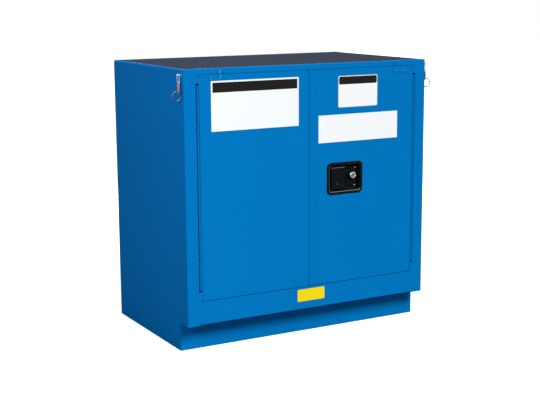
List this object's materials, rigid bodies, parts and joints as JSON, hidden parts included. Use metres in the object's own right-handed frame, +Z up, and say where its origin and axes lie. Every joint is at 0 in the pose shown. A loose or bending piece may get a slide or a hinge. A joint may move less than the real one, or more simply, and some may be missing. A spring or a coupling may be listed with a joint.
{
  "type": "under-counter safety cabinet",
  "caption": "Low double-wall steel safety cabinet with a pair of self-closing doors, recessed paddle latch with key lock, shelf, leak-proof sump and hold-open chains.",
  "frame": {"origin": "on the floor, under the middle of the carcass", "axes": "+Z up, +X to the right seen from the front, the doors face -Y"},
  "size_m": [0.9522, 0.5692, 0.889],
  "materials": {
    "blue_coat": "satin powder coat",
    "top_coat": "satin powder coat, slate grey",
    "zinc_plate": "zinc plated",
    "bright_steel": "bright drawn steel",
    "black_latch": "black satin coat",
    "lock_chrome": "polished",
    "brass": "dull, coppery"
  },
  "bodies": {
    "carcass": {"side_panel_left": "blue_coat", "side_panel_right": "blue_coat", "back_panel": "blue_coat", "top_panel": "top_coat", "top_rail": "blue_coat", "sill_rail": "blue_coat", "toe_kick": "blue_coat", "bottom_pan": "blue_coat", "liner_left": "blue_coat", "liner_right": "blue_coat", "liner_back": "blue_coat", "liner_top": "blue_coat", "sump_tray": "blue_coat", "shelf": "blue_coat", "shelf_standards": "zinc_plate", "shelf_clips": "zinc_plate", "vent_sleeves": "zinc_plate", "vent_screens": "bright_steel", "vent_bungs": "zinc_plate", "grounding_stud": "brass", "rod_strikes": "zinc_plate", "hinge_frame_leaf_left": "blue_coat", "hinge_frame_leaf_right": "blue_coat", "hinge_pin_left": "bright_steel", "hinge_pin_right": "bright_steel", "closer_brackets": "zinc_plate", "closer_springs": "bright_steel", "chain_eyes": "zinc_plate"},
    "left_door": {"door_skin_left": "blue_coat", "door_pan_left": "blue_coat", "hinge_door_leaf_left": "blue_coat", "closer_lug_left": "zinc_plate"},
    "right_door": {"door_skin_right": "blue_coat", "door_pan_right": "blue_coat", "hinge_door_leaf_right": "blue_coat", "closer_lug_right": "zinc_plate", "latch_tray": "black_latch", "paddle_pin": "bright_steel", "paddle_spring": "bright_steel", "hub_axle": "bright_steel", "rod_guides": "zinc_plate", "lock_housing": "black_latch", "lock_cylinder": "lock_chrome"},
    "paddle": {"paddle": "black_latch"},
    "hub": {"latch_hub": "zinc_plate"},
    "upper_rod": {"rod_upper": "bright_steel"},
    "lower_rod": {"rod_lower": "bright_steel"},
    "key_plug": {"lock_plug": "lock_chrome", "lock_cam": "zinc_plate"},
    "left_arm": {"closer_arm_left": "bright_steel"},
    "left_link": {"closer_link_left": "bright_steel"},
    "right_arm": {"closer_arm_right": "bright_steel"},
    "right_link": {"closer_link_right": "bright_steel"},
    "left_chain_link": {"chain_link_left": "bright_steel"},
    "left_fusible_link": {"fusible_link_left": "brass"},
    "left_ring": {"chain_ring_left": "bright_steel"},
    "right_chain_link": {"chain_link_right": "bright_steel"},
    "right_fusible_link": {"fusible_link_right": "brass"},
    "right_ring": {"chain_ring_right": "bright_steel"}
  },
  "joints": [
    {"name": "left_door_hinge", "type": "hinge", "parent": "carcass", "child": "left_door", "pos_m": [-0.3985, -0.2785, 0.52], "axis": [0, 0, -1], "range_deg": [0, 110], "stiffness_Nm_per_rad": 1.5, "springref_deg": -22.92},
    {"name": "left_arm_hinge", "type": "hinge", "parent": "carcass", "child": "left_arm", "pos_m": [-0.3235, -0.2395, 0.855], "axis": [0, 0, -1], "range_deg": [0, 110]},
    {"name": "left_link_hinge", "type": "hinge", "parent": "left_arm", "child": "left_link", "pos_m": [-0.2635, -0.2265, 0.852], "axis": [0, 0, -1], "range_deg": [-110, 0]},
    {"name": "right_door_hinge", "type": "hinge", "parent": "carcass", "child": "right_door", "pos_m": [0.3985, -0.2785, 0.52], "axis": [0, 0, 1], "range_deg": [0, 110], "stiffness_Nm_per_rad": 1.5, "springref_deg": -22.92},
    {"name": "right_arm_hinge", "type": "hinge", "parent": "carcass", "child": "right_arm", "pos_m": [0.3235, -0.2395, 0.855], "axis": [0, 0, 1], "range_deg": [0, 110]},
    {"name": "right_link_hinge", "type": "hinge", "parent": "right_arm", "child": "right_link", "pos_m": [0.2635, -0.2265, 0.852], "axis": [0, 0, 1], "range_deg": [-110, 0]},
    {"name": "paddle_hinge", "type": "hinge", "parent": "right_door", "child": "paddle", "pos_m": [0.081, -0.2735, 0.514], "axis": [0, 0, -1], "range_deg": [0, 35], "stiffness_Nm_per_rad": 0.15, "springref_deg": -28.65},
    {"name": "hub_hinge", "type": "hinge", "parent": "right_door", "child": "hub", "pos_m": [0.081, -0.2555, 0.532], "axis": [0, -1, 0], "range_deg": [0, 35]},
    {"name": "upper_rod_slide", "type": "slide", "parent": "right_door", "child": "upper_rod", "axis": [0, 0, -1], "range_m": [0, 0.01052]},
    {"name": "lower_rod_slide", "type": "slide", "parent": "right_door", "child": "lower_rod", "axis": [0, 0, 1], "range_m": [0, 0.01052]},
    {"name": "key_turn", "type": "hinge", "parent": "right_door", "child": "key_plug", "pos_m": [0.161, -0.2695, 0.5204], "axis": [0, 1, 0], "range_deg": [0, 90]},
    {"name": "left_chain_swing", "type": "hinge", "parent": "carcass", "child": "left_chain_link", "pos_m": [-0.4543, -0.2645, 0.871], "axis": [0, 1, 0], "range_deg": [0, 60]},
    {"name": "left_fusible_swing", "type": "hinge", "parent": "left_chain_link", "child": "left_fusible_link", "pos_m": [-0.4543, -0.2645, 0.8486], "axis": [1, 0, 0], "range_deg": [-35, 35]},
    {"name": "left_ring_swing", "type": "hinge", "parent": "left_fusible_link", "child": "left_ring", "pos_m": [-0.4543, -0.2645, 0.82128], "axis": [1, 0, 0], "range_deg": [-50, 50]},
    {"name": "right_chain_swing", "type": "hinge", "parent": "carcass", "child": "right_chain_link", "pos_m": [0.4543, -0.2645, 0.871], "axis": [0, -1, 0], "range_deg": [0, 60]},
    {"name": "right_fusible_swing", "type": "hinge", "parent": "right_chain_link", "child": "right_fusible_link", "pos_m": [0.4543, -0.2645, 0.8486], "axis": [1, 0, 0], "range_deg": [-35, 35]},
    {"name": "right_ring_swing", "type": "hinge", "parent": "right_fusible_link", "child": "right_ring", "pos_m": [0.4543, -0.2645, 0.82128], "axis": [1, 0, 0], "range_deg": [-50, 50]}
  ],
  "couplings": [
    {"joint": "left_arm_hinge", "follows": "left_door_hinge", "ratio": 1},
    {"joint": "left_link_hinge", "follows": "left_door_hinge", "ratio": -1},
    {"joint": "right_arm_hinge", "follows": "right_door_hinge", "ratio": 1},
    {"joint": "right_link_hinge", "follows": "right_door_hinge", "ratio": -1},
    {"joint": "hub_hinge", "follows": "paddle_hinge", "ratio": 1},
    {"joint": "upper_rod_slide", "follows": "paddle_hinge", "m_per_rad": 0.016901},
    {"joint": "lower_rod_slide", "follows": "paddle_hinge", "m_per_rad": 0.016901}
  ]
}
